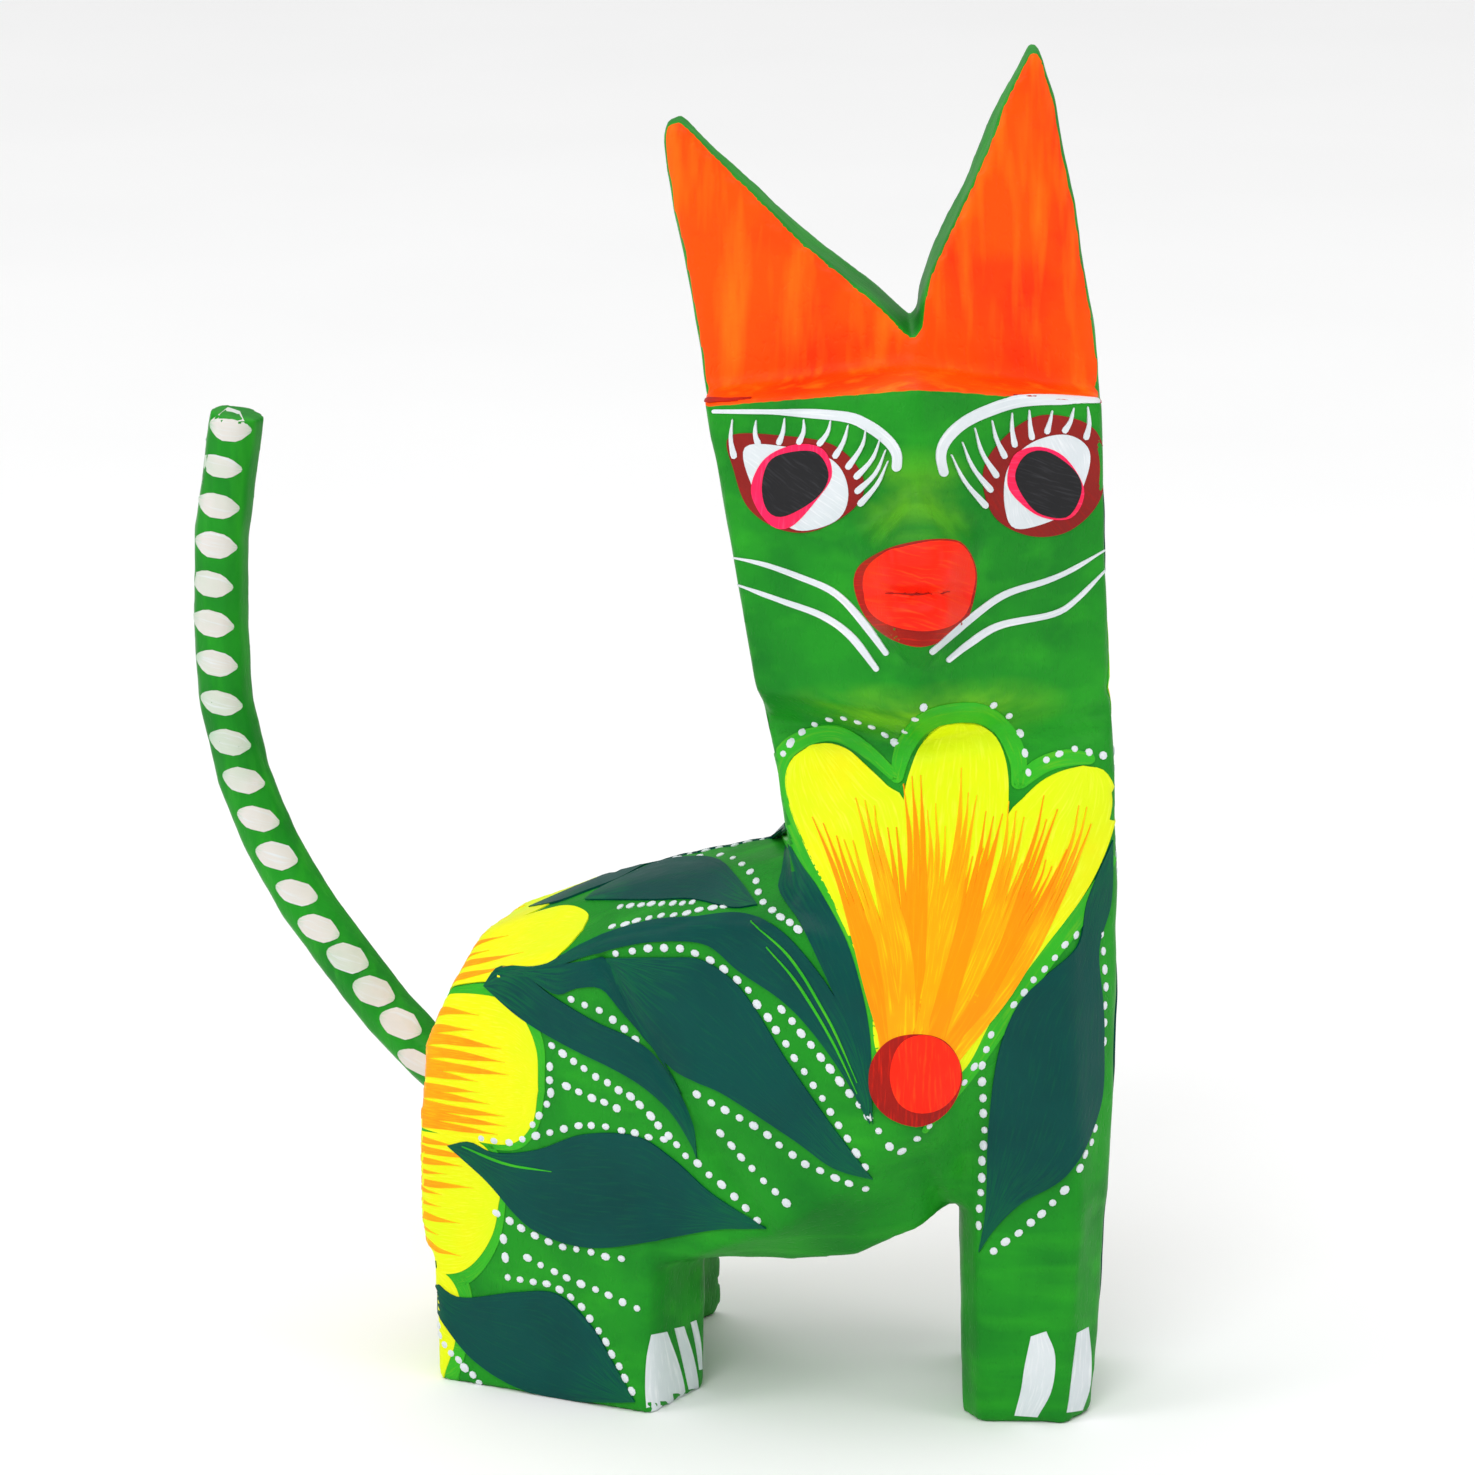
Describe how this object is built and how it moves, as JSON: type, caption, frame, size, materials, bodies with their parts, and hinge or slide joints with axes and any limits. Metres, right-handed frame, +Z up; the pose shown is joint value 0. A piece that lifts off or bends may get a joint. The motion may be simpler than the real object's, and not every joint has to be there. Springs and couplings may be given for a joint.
{
  "type": "carved wooden cat figure",
  "caption": "Hand-carved wooden cat, painted green with flowers, leaves and rows of dots, standing on flat soles; its stick tail plugs into the rump on a dowel.",
  "frame": {"origin": "middle of the whole object's box, on the surface it stands on", "axes": "+X the way the cat's body points, -Y its right flank and the way its face looks, +Z up from the soles"},
  "size_m": [0.1223, 0.0684, 0.1786],
  "materials": {
    "green_painted_wood": "satin",
    "green_painted_tail": "satin",
    "bare_wood": "matte",
    "white_paint": "satin",
    "yellow_paint": "satin",
    "orange_paint": "satin",
    "red_paint": "satin",
    "dark_green_paint": "satin",
    "maroon_paint": "satin",
    "pink_paint": "satin",
    "black_paint": "satin"
  },
  "bodies": {
    "carved_body": {"carved_body": "green_painted_wood"},
    "tail_peg": {"tail_peg": "bare_wood"},
    "tail": {"tail": "green_painted_tail"}
  },
  "joints": [
    {"name": "peg_slide", "type": "slide", "parent": "carved_body", "child": "tail_peg", "axis": [-0.7556, 0.385, 0.5299], "range_m": [0, 0.013]},
    {"name": "tail_turn", "type": "hinge", "parent": "tail_peg", "child": "tail", "pos_m": [-0.02228, 0.01125, 0.034], "axis": [-0.7556, 0.385, 0.5299], "range_deg": [-60, 60]}
  ]
}
